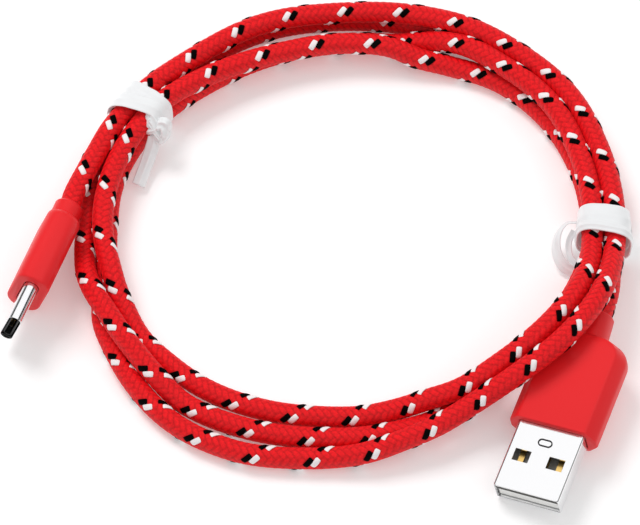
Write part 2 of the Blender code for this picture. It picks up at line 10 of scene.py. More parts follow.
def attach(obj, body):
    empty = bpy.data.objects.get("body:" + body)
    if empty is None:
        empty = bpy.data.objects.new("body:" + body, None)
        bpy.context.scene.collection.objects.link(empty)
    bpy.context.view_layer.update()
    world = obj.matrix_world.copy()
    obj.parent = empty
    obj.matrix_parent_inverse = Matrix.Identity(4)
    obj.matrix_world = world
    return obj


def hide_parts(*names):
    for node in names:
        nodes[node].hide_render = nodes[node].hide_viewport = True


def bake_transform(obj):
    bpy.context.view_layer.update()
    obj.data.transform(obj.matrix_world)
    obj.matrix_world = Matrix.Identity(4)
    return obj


MM = 0.001

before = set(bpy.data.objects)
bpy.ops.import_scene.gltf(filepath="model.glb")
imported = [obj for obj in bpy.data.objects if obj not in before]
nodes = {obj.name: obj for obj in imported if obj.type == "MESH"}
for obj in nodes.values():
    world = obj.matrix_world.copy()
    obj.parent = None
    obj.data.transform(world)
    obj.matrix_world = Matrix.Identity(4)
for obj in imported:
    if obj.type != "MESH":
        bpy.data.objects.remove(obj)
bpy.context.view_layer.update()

# ---- Sizes, millimetres and degrees, as the CAD model has them -----------------------------------

CORD_DIAMETER = 3.8
CORD_RADIUS = CORD_DIAMETER / 2
COIL_CENTRE = (4.79, 3.98)

# How the strands lie round the coil: an azimuth, and the (radius, height) of the cord's middle on its
# first, second, third and fourth pass.
LAY = [
    (3.0, (47.0, 2.85), (43.1, 2.85), (43.1, 6.65), (47.0, 6.65)),
    (20.0, (47.5, 1.95), (43.6, 1.95), (43.7, 5.75), (47.5, 5.75)),
    (34.0, (47.6, 1.9), (43.6, 1.9), (44.5, 5.6), (48.3, 5.65)),
    (50.0, (47.0, 1.9), (42.6, 1.95), (44.0, 5.5), (47.9, 5.6)),
    (64.0, (47.1, 1.9), (40.4, 2.1), (43.9, 4.6), (47.5, 5.7)),
    (71.0, (46.9, 1.9), (39.3, 3.0), (43.2, 3.0), (46.9, 5.7)),
    (78.0, (46.6, 1.9), (39.3, 4.5), (42.0, 1.9), (46.3, 5.7)),
    (90.0, (46.3, 1.9), (39.1, 5.0), (41.3, 1.9), (45.5, 5.65)),
    (110.0, (46.4, 1.9), (39.0, 5.15), (40.9, 1.9), (45.7, 5.65)),
    (130.0, (45.7, 2.1), (40.5, 5.85), (41.2, 2.1), (45.2, 5.9)),
    (143.5, (45.9, 2.85), (42.0, 6.65), (42.0, 2.85), (45.9, 6.65)),
    (152.5, (46.5, 2.75), (42.6, 6.5), (42.6, 2.7), (46.5, 6.6)),
    (165.0, (47.1, 2.1), (43.4, 5.75), (43.3, 1.95), None),
    (180.0, (46.7, 2.1), (43.5, 5.65), (42.9, 1.9), None),
    (186.0, (46.9, 2.8), (43.2, 5.65), (43.1, 1.9), None),
    (192.0, (47.1, 4.4), (42.8, 5.6), (44.1, 1.9), None),
    (197.0, (46.8, 5.4), (42.7, 4.9), (45.3, 1.9), None),
    (202.0, (46.1, 5.7), (42.5, 3.7), (46.6, 1.9), None),
    (210.0, (45.4, 5.3), (42.2, 2.2), (47.3, 1.9), None),
    (220.0, (44.9, 3.9), (41.1, 1.9), (48.2, 1.9), None),
    (230.0, (44.7, 1.9), (40.3, 1.9), (48.8, 1.9), None),
    (245.0, (43.2, 1.9), (38.8, 1.9), (48.0, 1.9), None),
    (263.0, (41.5, 1.9), (37.3, 1.9), (45.5, 1.9), None),
    (273.0, (41.1, 1.9), (37.0, 1.95), (44.8, 2.9), None),
    (283.0, (40.7, 1.9), (36.8, 2.6), (43.7, 4.3), None),
    (291.0, (40.5, 1.9), (37.4, 4.2), (43.1, 5.1), None),
    (299.0, (40.2, 1.9), (38.5, 5.6), (42.5, 6.0), None),
    (311.0, (38.1, 1.9), (39.6, 8.2), (43.6, 9.4), None),
    (323.0, (38.5, 1.9), (41.3, 10.5), (45.4, 11.4), None),
    (337.0, (40.5, 1.95), (42.7, 10.3), (46.8, 11.2), None),
    (347.0, (42.0, 2.4), (43.1, 8.0), (47.0, 8.9), None),
    (354.0, (43.0, 2.85), (43.0, 6.65), (47.0, 6.8), None),
]
SEAM_A = 10.0  # azimuth on the first pass where the coil's cord takes over from the USB-A tail
SEAM_C = 3 * 360 + 139.0  # and where it gives way to the USB-C tail

TIE_LEFT_AZIMUTH = 148.0
TIE_RIGHT_AZIMUTH = 358.5
TIE_LEFT_RADIUS = 44.15
TIE_RIGHT_RADIUS = 45.1

PLUG_A_POINT = (34.88, -41.83, 4.5)
PLUG_A_HEADING = 21.6
PLUG_A_PITCH = 4.6  # nose down
PLUG_A_ROLL = 9.8  # the side away from the coil is lifted
A_MOULD = (16.0, 7.0, 18.6)
A_FLAT = 12.4
A_SHELL = (12.0, 4.5)
A_SHELL_WALL = 0.3
A_SHELL_OUT = 13.0
A_SHELL_IN = 7.0
A_WINDOW = (2.9, 2.3)
A_WINDOW_X = 3.1
A_WINDOW_FROM_MOUTH = 5.4
A_REAR_ROUND = 3.6
A_NECK_RADIUS = 3.0
A_NECK_END_RADIUS = 2.6
A_NECK_LENGTH = 5.4
A_CAVITY_END = 17.8

PLUG_C_POINT = (-56.2, -14.9, 6.45)
PLUG_C_HEADING = 20.2
PLUG_C_PITCH = -1.7
PLUG_C_LEAN = 18.6
C_MOULD = (11.5, 6.2, 15.6)
C_CORNER = 2.6
C_REAR_ROUND = 1.6
C_CAVITY_HALF = (5.25, 2.7)
C_SHELL = (8.34, 2.56)
C_SHELL_WALL = 0.2
C_SHELL_OUT = 7.6
C_SHELL_IN = 3.5
C_NECK_RADIUS = 2.6
C_NECK_LENGTH = 4.0
C_CAVITY_END = 14.2

TAIL_A_ROUTE = [(45.9, -9.2, 3.7), (45.6, -12.4, 5.0), (44.9, -16.0, 6.1)]
TAIL_C_ROUTE = [
    (-42.75, 19.0, 6.7),
    (-44.95, 14.55, 6.3),
    (-46.95, 10.1, 6.2),
    (-48.7, 6.0, 6.0),
]

# The braid: as many yarns one way round as the other, each over two and under two
BRAID_PITCH = 10.3
CARRIERS = 8  # yarns each way
YARN_RELIEF = 0.1
FURROW_DEPTH = 0.08  # of the gaps between yarns, below the cord's radius
BRAID_SIDES = 64
BRAID_STEP = 0.22  # between rings of points along the cord

# The marks come up on one side of the cord, which leans outwards by a mean angle and a swing that is
# greatest at one azimuth
MARKED_SIDE = (0.0, -0.5225, 0.8526)
MARK_LEAN = 12.0
MARK_LEAN_SWING = 14.0
MARK_LEAN_AZIMUTH = 220.0

# The marked yarns: their half-width, half-thickness and the step between points along them
TRACER_HALF_WIDTH = 0.48
TRACER_HALF_THICKNESS = 0.11
TRACER_STEP = 0.16
TRACER_SIDES = 8

# The bundle of strands inside a tie: half its width and height, its middle's height, and how
# squarely a tie goes round it (2 would be an ellipse)
BUNDLE_HALF = (4.15, 3.95)
BUNDLE_MIDDLE = 4.75
BUNDLE_SQUARENESS = 3.2

# ---- Camera --------------------------------------------------------------------------------------

CAMERA_TARGET = (-0.31, -0.62, 0.0)
CAMERA_DISTANCE = 700.0
CAMERA_ELEVATION = 58.5
CAMERA_LENS = 222.1

camera_data = bpy.data.cameras.new("camera")
camera_data.lens = CAMERA_LENS
camera_data.sensor_width = 36.0
camera_data.clip_start = 0.01
camera = bpy.data.objects.new("camera", camera_data)
bpy.context.collection.objects.link(camera)
elevation = math.radians(CAMERA_ELEVATION)
back = Vector((0.0, -math.cos(elevation), math.sin(elevation))) * CAMERA_DISTANCE
camera.location = (Vector(CAMERA_TARGET) + back) * MM
camera.rotation_euler = (math.pi / 2 - elevation, 0.0, 0.0)
bpy.context.scene.camera = camera


# ---- Materials -----------------------------------------------------------------------------------


def principled(name, colour, roughness, metallic=0.0, **extra):
    made = bpy.data.materials.new(name)
    made.use_nodes = True
    shader = made.node_tree.nodes["Principled BSDF"]
    shader.inputs["Base Color"].default_value = (*colour, 1.0)
    shader.inputs["Roughness"].default_value = roughness
    shader.inputs["Metallic"].default_value = metallic
    for socket, value in extra.items():
        shader.inputs[socket.replace("_", " ")].default_value = value
    return made


def add_grain(made, scale, strength, distance=0.0001):
    """Fine unevenness of the surface."""
    tree = made.node_tree
    shader = tree.nodes["Principled BSDF"]
    place = tree.nodes.new("ShaderNodeTexCoord")
    grain = tree.nodes.new("ShaderNodeTexNoise")
    grain.inputs["Scale"].default_value = scale
    grain.inputs["Detail"].default_value = 3.0
    bump = tree.nodes.new("ShaderNodeBump")
    bump.inputs["Strength"].default_value = strength
    bump.inputs["Distance"].default_value = distance
    tree.links.new(place.outputs["Object"], grain.inputs["Vector"])
    tree.links.new(grain.outputs["Fac"], bump.inputs["Height"])
    tree.links.new(bump.outputs["Normal"], shader.inputs["Normal"])
    return grain


def braid_material():
    """Red yarn with painted shade: the colour is painted darker down between the yarns than on their
    crowns, with fine threads.
    """
    made = principled("red_braid", (0.9, 0.008, 0.012), 0.6, Specular_IOR_Level=0.3)
    tree = made.node_tree
    shader = tree.nodes["Principled BSDF"]
    shader.inputs["Sheen Weight"].default_value = 0.15
    shader.inputs["Sheen Roughness"].default_value = 0.4
    shader.inputs["Sheen Tint"].default_value = (1.0, 0.15, 0.15, 1.0)
    relief = tree.nodes.new("ShaderNodeAttribute")
    relief.attribute_name = "relief"
    # Painted shade: this ramp darkens the red where the yarns stand low, in the furrows between them.
    painted_furrow_shade = tree.nodes.new("ShaderNodeValToRGB")
    painted_furrow_shade.color_ramp.elements[0].position = 0.05
    painted_furrow_shade.color_ramp.elements[0].color = (0.5, 0.001, 0.003, 1.0)
    painted_furrow_shade.color_ramp.elements[1].position = 0.8
    painted_furrow_shade.color_ramp.elements[1].color = (0.92, 0.006, 0.011, 1.0)
    tree.links.new(relief.outputs["Fac"], painted_furrow_shade.inputs["Fac"])
    grain = add_grain(made, 2600.0, 0.3)
    speckle = tree.nodes.new("ShaderNodeMapRange")
    speckle.inputs["From Min"].default_value = 0.35
    speckle.inputs["From Max"].default_value = 0.65
    speckle.inputs["To Min"].default_value = 0.78
    speckle.inputs["To Max"].default_value = 1.0
    tree.links.new(grain.outputs["Fac"], speckle.inputs["Value"])
    shade = tree.nodes.new("ShaderNodeVectorMath")
    shade.operation = "SCALE"
    tree.links.new(painted_furrow_shade.outputs["Color"], shade.inputs[0])
    tree.links.new(speckle.outputs["Result"], shade.inputs["Scale"])
    tree.links.new(shade.outputs["Vector"], shader.inputs["Base Color"])
    return made


def shaded_white():
    """White plastic with painted shade: its upper faces are painted darker than its front, for the
    shade deep in the shell.
    """
    front = (0.85, 0.85, 0.83)
    painted_upper_shade = (0.25, 0.25, 0.24)
    made = principled("white_plastic", front, 0.4)
    tree = made.node_tree
    facing = tree.nodes.new("ShaderNodeNewGeometry")
    parts = tree.nodes.new("ShaderNodeSeparateXYZ")
    shade = tree.nodes.new("ShaderNodeValToRGB")
    shade.color_ramp.elements[0].position = 0.5
    shade.color_ramp.elements[0].color = (*front, 1.0)
    shade.color_ramp.elements[1].position = 0.8
    shade.color_ramp.elements[1].color = (*painted_upper_shade, 1.0)
    tree.links.new(facing.outputs["Normal"], parts.inputs["Vector"])
    tree.links.new(parts.outputs["Z"], shade.inputs["Fac"])
    tree.links.new(shade.outputs["Color"], tree.nodes["Principled BSDF"].inputs["Base Color"])
    return made


BRAID = braid_material()
TRACER_WHITE = principled("tracer_white", (0.9, 0.85, 0.85), 0.55)
TRACER_BLACK = principled("tracer_black", (0.001, 0.001, 0.001), 0.7, Specular_IOR_Level=0.05)
MOULD = principled("red_moulding", (0.8, 0.014, 0.018), 0.4, Specular_IOR_Level=0.35)
add_grain(MOULD, 2600.0, 0.05)
STEEL = principled("bright_steel", (0.86, 0.86, 0.87), 0.16, 1.0)
SPRING_STEEL = principled("spring_steel", (0.7, 0.7, 0.72), 0.3, 1.0)
GOLD = principled("gold_plate", (0.9, 0.6, 0.2), 0.28, 1.0)
# The insulator's white plastic, with painted shade on its upper faces.
WHITE_PLASTIC_PAINTED_SHADE = shaded_white()
# Black plastic, also used for the dimple's black ring of painted shade.
BLACK_PLASTIC_AND_DIMPLE_SHADE = principled("black_plastic", (0.01, 0.01, 0.011), 0.45)
INNER_PLASTIC = principled("inner_plastic", (0.7, 0.7, 0.66), 0.5)
BOARD_GREEN = principled("board_green", (0.02, 0.18, 0.06), 0.5)
# Painted light: the ties' plastic glows faintly white, brightening its shaded sides.
TIE_PLASTIC_PAINTED_GLOW = principled(
    "tie_plastic",
    (0.74, 0.75, 0.76),
    0.35,
    Coat_Weight=0.15,
    Emission_Color=(1.0, 1.0, 1.0, 1.0),
    Emission_Strength=0.1,
)
WIRES = {
    "red": principled("wire_red", (0.7, 0.02, 0.02), 0.4),
    "white": principled("wire_white", (0.85, 0.85, 0.85), 0.4),
    "green": principled("wire_green", (0.02, 0.4, 0.08), 0.4),
    "black": principled("wire_black", (0.01, 0.01, 0.01), 0.4),
}


# ---- Shapes --------------------------------------------------------------------------------------


def mesh_object(name, points, faces, look, place=None, crease=35.0):
    """A mesh from points in millimetres, in the row frame or in the frame given as place."""
    mesh = bpy.data.meshes.new(name)
    turn = place or Matrix.Identity(4)
    mesh.from_pydata([turn @ (Vector(p) * MM) for p in points], [], faces)
    mesh.materials.append(look)
    mesh.update()
    mesh.shade_smooth()
    mesh.set_sharp_from_angle(angle=math.radians(crease))
    made = bpy.data.objects.new(name, mesh)
    bpy.context.collection.objects.link(made)
    return made


def skin(sections):
    """Points and outward faces of a body through outlines that turn clockwise seen from its far end."""
    count = len(sections[0])
    points = [p for section in sections for p in section]
    faces = []
    for i in range(len(sections) - 1):
        near, far = i * count, (i + 1) * count
        for j in range(count):
            k = (j + 1) % count
            faces.append((near + j, far + j, far + k, near + k))
    last = (len(sections) - 1) * count
    faces.append(tuple(range(count)))
    faces.append(tuple(last + j for j in reversed(range(count))))
    return points, faces


def rounded(half_x, half_z, corner, steps=6):
    """A rounded rectangle in X and Z, counter-clockwise seen from -Y."""
    corner = min(corner, 0.98 * min(half_x, half_z))
    outline = []
    for quarter, (sx, sz) in enumerate(((1, 1), (-1, 1), (-1, -1), (1, -1))):
        for step in range(steps + 1):
            turn = math.radians(90 * quarter + 90 * step / steps)
            x = sx * (half_x - corner) + corner * math.cos(turn)
            z = sz * (half_z - corner) + corner * math.sin(turn)
            outline.append((x, z))
    return outline


def bar(name, outline, low_y, high_y, look, place=None):
    sections = [[(x, y, z) for x, z in outline] for y in (low_y, high_y)]
    return mesh_object(name, *skin(sections), look, place)


def lipped_sleeve(name, outer, inner, rows_outer, rows_inner, look, place):
    """A tube whose wall follows (y, inset) rows, first outside from the rear and then back inside."""
    count = len(outer)
    sections = []
    for outline, rows in ((outer, rows_outer), (inner, rows_inner)):
        for y, inset in rows:
            section = []
            for x, z in outline:
                reach = math.hypot(x, z)
                share = 1 - inset / reach
                section.append((x * share, y, z * share))
            sections.append(section)
    points = [p for section in sections for p in section]
    faces = []
    for i in range(len(sections)):
        near, far = i * count, (i + 1) % len(sections) * count
        for j in range(count):
            k = (j + 1) % count
            faces.append((near + j, far + j, far + k, near + k))
    return mesh_object(name, points, faces, look, place)


def cut(body, tools):
    """Takes the tools' shapes out of the body, for good."""
    for tool in tools:
        step = body.modifiers.new(tool.name, "BOOLEAN")
        step.operation = "DIFFERENCE"
        step.object = tool
        step.solver = "EXACT"
    found = body.evaluated_get(bpy.context.evaluated_depsgraph_get())
    mesh = bpy.data.meshes.new_from_object(found)
    body.modifiers.clear()
    body.data = mesh
    for tool in tools:
        bpy.data.objects.remove(tool, do_unlink=True)
    mesh.shade_smooth()
    mesh.set_sharp_from_angle(angle=math.radians(35))
    return body


# ---- Frames --------------------------------------------------------------------------------------


def in_row(point):
    """A point in metres in the row frame, from millimetres from the coil's middle."""
    return (Vector(point) + Vector((*COIL_CENTRE, 0))) * MM


def plug_place(point, heading, pitch, roll):
    yaw = Matrix.Rotation(math.radians(180 - heading), 4, "Z")
    nose = Matrix.Rotation(math.radians(-pitch), 4, "X")
    turn = yaw @ nose @ Matrix.Rotation(math.radians(roll), 4, "Y")
    return Matrix.Translation(in_row(point)) @ turn


PLUG_A = plug_place(PLUG_A_POINT, PLUG_A_HEADING, PLUG_A_PITCH, PLUG_A_ROLL)
PLUG_C = plug_place(PLUG_C_POINT, PLUG_C_HEADING, PLUG_C_PITCH, 90.0 - PLUG_C_LEAN)


def on_plug(place, back_by):
    """A point on a plug's axis behind its front face, in millimetres from the coil's middle."""
    point = (place @ Vector((0, -back_by * MM, 0))) / MM
    return point - Vector((*COIL_CENTRE, 0))


# ---- The cord's route ----------------------------------------------------------------------------


def smooth_through(places, values, wanted):
    """Values at the wanted places, on smooth curves through the given ones."""
    places, values, wanted = (np.asarray(a, float) for a in (places, values, wanted))
    gaps = np.diff(places)
    steps = np.diff(values, axis=0) / gaps[:, None]
    weight = (gaps[:-1] / (gaps[:-1] + gaps[1:]))[:, None]
    slopes = np.vstack([steps[:1], steps[:-1] * (1 - weight) + steps[1:] * weight, steps[-1:]])
    i = np.clip(np.searchsorted(places, wanted, side="right") - 1, 0, len(places) - 2)
    span = gaps[i][:, None]
    t = (wanted - places[i])[:, None] / span
    a, b = values[i], values[i + 1]
    ease = t * t * (3 - 2 * t)
    start = slopes[i] * span * t * (1 - t) ** 2
    end = slopes[i + 1] * span * t * t * (t - 1)
    return a + (b - a) * ease + start + end


def polar(azimuth, radius, height):
    turn = math.radians(azimuth)
    return (radius * math.cos(turn), radius * math.sin(turn), height)


def cord_route():
    """The whole cord's middle line from plug to plug, evenly spaced, and its two seams."""
    rows = []
    for number in range(4):
        for azimuth, *places in LAY:
            if places[number] is not None:
                rows.append((azimuth + 360 * number, *places[number]))
    rows = np.array(rows)
    azimuths = np.arange(rows[0, 0], rows[-1, 0], 2.0)
    coil = smooth_through(rows[:, 0], rows[:, 1:], azimuths)
    coil_points = [polar(a, r, max(z, CORD_RADIUS)) for a, (r, z) in zip(azimuths, coil)]
    start = [on_plug(PLUG_A, d) for d in (17.9, 20.0, 22.0, 24.0)]
    start += [Vector(p) for p in reversed(TAIL_A_ROUTE)] + [Vector(polar(-5.0, 46.9, 2.9))]
    end = [Vector(p) for p in TAIL_C_ROUTE]
    end += [on_plug(PLUG_C, d) for d in (19.6, 17.8, 16.0, 14.6)]
    knots = np.array([list(p) for p in [*start, *coil_points, *end]])
    along = np.concatenate([[0.0], np.cumsum(np.linalg.norm(np.diff(knots, axis=0), axis=1))])
    fine = smooth_through(along, knots, np.arange(0.0, along[-1], 0.1))
    run = np.concatenate([[0.0], np.cumsum(np.linalg.norm(np.diff(fine, axis=0), axis=1))])
    count = round(run[-1] / BRAID_STEP)
    even = np.linspace(0.0, run[-1], count + 1)
    route = np.stack([np.interp(even, run, fine[:, axis]) for axis in range(3)], axis=1)
    first = along[len(start) + int(np.searchsorted(azimuths, SEAM_A))] / along[-1]
    last = along[len(start) + int(np.searchsorted(azimuths, SEAM_C))] / along[-1]
    return route, round(first * count), round(last * count)


ROUTE, SEAM_1, SEAM_2 = cord_route()
ROUTE_STEP = float(np.linalg.norm(ROUTE[1] - ROUTE[0]))
tangents = np.gradient(ROUTE, axis=0)
tangents /= np.linalg.norm(tangents, axis=1)[:, None]
UPS = np.array(MARKED_SIDE) - tangents * (tangents @ np.array(MARKED_SIDE))[:, None]
UPS /= np.linalg.norm(UPS, axis=1)[:, None]
SIDES = np.cross(tangents, UPS)
AZIMUTHS = np.degrees(np.arctan2(ROUTE[:, 1], ROUTE[:, 0]))
LEANS = MARK_LEAN + MARK_LEAN_SWING * np.cos(np.radians(AZIMUTHS - MARK_LEAN_AZIMUTH))
LEANS = np.radians(LEANS - 270 / CARRIERS)  # turned so that the two marked yarns cross in its middle
UPS, SIDES = (
    UPS * np.cos(LEANS)[:, None] + SIDES * np.sin(LEANS)[:, None],
    SIDES * np.cos(LEANS)[:, None] - UPS * np.sin(LEANS)[:, None],
)


def weave(turn, run):
    """How far the braid's yarns stand up, 0 to 1, at a share of a turn and a run along the cord."""
    p = CARRIERS * (turn + run / BRAID_PITCH)
    n = CARRIERS * (turn - run / BRAID_PITCH)
    a, b = np.floor(p), np.floor(n)
    over = (a + n) % 4
    under = (b + p) % 4 - 2
    first = over < 2
    along = np.where(first, over, under) / 2
    across = np.where(first, p - a, n - b)
    arch = np.sin(np.pi * np.clip(along, 0, 1)) ** 0.6
    crown = np.sqrt(np.clip(1 - (2 * across - 1) ** 2, 0, 1))
    return crown * (0.35 + 0.65 * arch)


def strip_faces(rings, sides):
    """Faces of a closed tube's wall, without its two ends."""
    i, j = np.meshgrid(np.arange(rings - 1), np.arange(sides), indexing="ij")
    k = (j + 1) % sides
    quads = np.stack([i * sides + j, i * sides + k, (i + 1) * sides + k, (i + 1) * sides + j], -1)
    return quads.reshape(-1, 4)


def tube_mesh(name, points, sides, look, relief=None):
    """A tube from rings of points in millimetres from the coil's middle."""
    rings = len(points) // sides
    quads = strip_faces(rings, sides)
    ends = [tuple(reversed(range(sides))), tuple((rings - 1) * sides + j for j in range(sides))]
    mesh = bpy.data.meshes.new(name)
    loops = np.concatenate([quads.ravel(), ends[0], ends[1]]).astype(np.int32)
    starts = np.concatenate([np.arange(len(quads)) * 4, [len(quads) * 4, len(quads) * 4 + sides]])
    mesh.vertices.add(len(points))
    moved = (np.asarray(points) + np.array([*COIL_CENTRE, 0.0])) * MM
    mesh.vertices.foreach_set("co", moved.astype(np.float32).ravel())
    mesh.loops.add(len(loops))
    mesh.loops.foreach_set("vertex_index", loops)
    mesh.polygons.add(len(starts))
    mesh.polygons.foreach_set("loop_start", starts.astype(np.int32))
    mesh.update(calc_edges=True)
    mesh.validate()
    mesh.materials.append(look)
    mesh.shade_smooth()
    if relief is not None:
        mesh.attributes.new("relief", "FLOAT", "POINT").data.foreach_set("value", relief)
    made = bpy.data.objects.new(name, mesh)
    bpy.context.collection.objects.link(made)
    return made


def braided(name, first, last):
    """The cord's red braid between two stations of the route."""
    stations = np.arange(first, last + 1)
    turn = np.arange(BRAID_SIDES) / BRAID_SIDES
    grid_turn, grid_run = np.meshgrid(turn, stations * ROUTE_STEP)
    relief = weave(grid_turn, grid_run)
    reach = CORD_RADIUS - FURROW_DEPTH + YARN_RELIEF * relief
    angle = 2 * math.pi * grid_turn
    ups, sides = UPS[stations][:, None, :], SIDES[stations][:, None, :]
    out = ups * np.cos(angle)[..., None] + sides * np.sin(angle)[..., None]
    points = ROUTE[stations][:, None, :] + out * reach[..., None]
    values = relief.astype(np.float32).ravel()
    return tube_mesh(name, points.reshape(-1, 3), BRAID_SIDES, BRAID, values)


def tracer(name, carrier, look, first, last):
    """One coloured yarn of the braid, over two and under two as it winds round."""
    run = np.arange(first * ROUTE_STEP, last * ROUTE_STEP, TRACER_STEP)
    turn = (carrier + 0.5) / CARRIERS - run / BRAID_PITCH
    n = CARRIERS * (turn - run / BRAID_PITCH)
    phase = (carrier + n) % 4
    lift = np.cos(np.pi * (phase - 1) / 2)
    reach = CORD_RADIUS - 0.12 + 0.2 * np.clip(2.0 * lift - 0.1, -1, 0.75)
    place = run / ROUTE_STEP
    low = np.clip(place.astype(int), 0, len(ROUTE) - 2)
    share = (place - low)[:, None]

    def between(values):
        return values[low] * (1 - share) + values[low + 1] * share

    middle, up, side = between(ROUTE), between(UPS), between(SIDES)
    angle = (2 * math.pi * turn)[:, None]
    out = up * np.cos(angle) + side * np.sin(angle)
    line = middle + out * reach[:, None]
    ahead = np.gradient(line, axis=0)
    ahead /= np.linalg.norm(ahead, axis=1)[:, None]
    across = np.cross(ahead, out)
    across /= np.linalg.norm(across, axis=1)[:, None]
    out = np.cross(across, ahead)
    width = (TRACER_HALF_WIDTH + 0.04 * np.clip(2 * lift, -1, 1))[:, None]
    points = []
    for corner in range(TRACER_SIDES):
        turned = math.radians(360 / TRACER_SIDES * corner)
        spread = across * width * math.sin(turned)
        points.append(line + spread + out * TRACER_HALF_THICKNESS * math.cos(turned))
    stacked = np.stack(points[::-1], axis=1).reshape(-1, 3)
    return tube_mesh(name, stacked, TRACER_SIDES, look)


def cord_piece(name, first, last):
    piece = braided(name, first, last)
    white = tracer(name + "_white_yarn", 1, TRACER_WHITE, first, last)
    black = tracer(name + "_black_yarn", 0, TRACER_BLACK, first, last)
    line = [in_row(p) for p in [*ROUTE[first : last + 1 : 6], ROUTE[last]]]
    length = ROUTE_STEP * (last - first) * MM
    return piece, [white, black], line, length


tail_a, yarns_a, line_a, length_a = cord_piece("tail_a", 0, SEAM_1)
coil, yarns_coil, line_coil, length_coil = cord_piece("coil_cord", SEAM_1, SEAM_2)
tail_c, yarns_c, line_c, length_c = cord_piece("tail_c", SEAM_2, len(ROUTE) - 1)

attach(coil, "root")
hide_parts("cable_coil", "cable_low_pass")
for yarn in yarns_coil:
    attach(yarn, "root")

# ---- USB-A plug ----------------------------------------------------------------------------------


def a_outline(half_x, half_z, flat):
    """The moulding's section: flat top and bottom, with a wide slope down to each side."""
    side = 0.32 * half_z
    corners = [(half_x, -side), (half_x, side), (flat, half_z)]
    corners += [(-x, z) for x, z in reversed(corners[1:])] + [(-half_x, -side)]
    corners += [(-flat, -half_z), (flat, -half_z)]
    eased = []
    for i, corner in enumerate(corners):
        here = Vector(corner)
        before, after = Vector(corners[i - 1]), Vector(corners[(i + 1) % len(corners)])
        for share in (-1.0, -0.4, 0.4, 1.0):
            to = before if share < 0 else after
            reach = min(0.45, 0.4 * (to - here).length)
            pull = (to - here).normalized() * reach * abs(share)
            other = after if share < 0 else before
            inward = (other - here).normalized() * reach * 0.3 * (1 - abs(share))
            eased.append(tuple(here + pull + inward))
    return eased


def a_neck(radius, count):
    outline = []
    for step in range(count):
        turn = math.radians(-21 + 360 * step / count)
        outline.append((radius * math.cos(turn), radius * math.sin(turn)))
    return outline


def usb_a_moulding():
    width, height, length = A_MOULD
    slope = (width - A_FLAT) / 2
    rows = [(0.0, width / 2 - 0.3, height / 2 - 0.3), (-0.12, width / 2 - 0.1, height / 2 - 0.1)]
    rows.append((-0.35, width / 2, height / 2))
    for step in range(13):
        turn = math.radians(90 * step / 12)
        half = width / 2 - A_REAR_ROUND * (1 - math.cos(turn))
        sink = 0.35 * (1 - math.cos(turn))
        rows.append((-length + A_REAR_ROUND * (1 - math.sin(turn)), half, height / 2 - sink))
    sections = []
    for y, half_x, half_z in rows:
        flat = max(half_x - slope, 0.55 * half_x)
        sections.append([(x, y, z) for x, z in a_outline(half_x, half_z, flat)])
    count = len(sections[0])
    neck_end = -length - A_NECK_LENGTH
    for y, radius in (
        (-length - 0.15, A_NECK_RADIUS + 0.2),
        (-length - 0.6, A_NECK_RADIUS),
        (neck_end + 0.25, A_NECK_END_RADIUS),
        (neck_end, A_NECK_END_RADIUS - 0.2),
    ):
        sections.append([(x, y, z) for x, z in a_neck(radius, count)])
    sections.reverse()
    body = mesh_object("plug_a_moulding", *skin(sections), MOULD, PLUG_A, 28.0)
    hollow = rounded(A_SHELL[0] / 2 + 0.15, A_SHELL[1] / 2 + 0.15, 0.7, 3)
    pocket = bar("pocket", hollow, -A_CAVITY_END, 1.0, MOULD, PLUG_A)
    bore = bar("bore", rounded(2.05, 2.05, 2.05), neck_end - 1, -A_CAVITY_END + 0.5, MOULD, PLUG_A)
    return cut(body, [pocket, bore])


def usb_a_shell():
    half_x, half_z = A_SHELL[0] / 2, A_SHELL[1] / 2
    outer = rounded(half_x, half_z, 0.5)
    inner = rounded(half_x - A_SHELL_WALL, half_z - A_SHELL_WALL, 0.15)
    out_rows = [(-A_SHELL_IN, 0.0), (A_SHELL_OUT - 0.25, 0.0), (A_SHELL_OUT - 0.05, 0.08)]
    out_rows.append((A_SHELL_OUT, 0.16))
    in_rows = [(A_SHELL_OUT, -0.08), (A_SHELL_OUT - 0.2, 0.0), (-A_SHELL_IN, 0.0)]
    body = lipped_sleeve("plug_a_shell", outer, inner, out_rows, in_rows, STEEL, PLUG_A)
    front = A_SHELL_OUT - A_WINDOW_FROM_MOUTH
    tools = []
    for side in (-1, 1):
        middle = side * A_WINDOW_X
        low, high = middle - A_WINDOW[0] / 2, middle + A_WINDOW[0] / 2
        outline = [(low, -3), (high, -3), (high, 3), (low, 3)]
        tools.append(bar("window", outline, front - A_WINDOW[1], front, STEEL, PLUG_A))
    return cut(body, tools)


def usb_a_dimple():
    """The dark outline of the small oval pressed into the shell's top: painted shade of its groove, as
    a black ring on the shell.
    """
    radius, half_straight, from_moulding = 0.6, 0.6, 3.1
    half_line, half_rise = 0.11, 0.1
    points, faces = [], []
    steps, corners = 40, 8
    for step in range(steps):
        turn = 2 * math.pi * step / steps
        end = half_straight if math.cos(turn) > 0 else -half_straight
        for corner in range(corners):
            around = 2 * math.pi * corner / corners
            reach = radius + half_line * math.cos(around)
            height = A_SHELL[1] / 2 + half_rise + half_rise * math.sin(around)
            y = from_moulding + reach * math.sin(turn)
            points.append((end + reach * math.cos(turn), y, height))
        here, ahead = step * corners, (step + 1) % steps * corners
        for corner in range(corners):
            following = (corner + 1) % corners
            faces.append((here + corner, ahead + corner, ahead + following, here + following))
    # The ring's black is painted shade of the dimple's groove.
    return mesh_object("plug_a_dimple", points, faces, BLACK_PLASTIC_AND_DIMPLE_SHADE, PLUG_A)


plug_a_moulding = usb_a_moulding()
plug_a_shell = usb_a_shell()
plug_a_dimple = usb_a_dimple()
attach(plug_a_dimple, "plug_a")
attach(plug_a_moulding, "plug_a")
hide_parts("usb_a_overmould")
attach(plug_a_shell, "plug_a")
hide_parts("usb_a_shell")

# ---- USB-C plug ----------------------------------------------------------------------------------


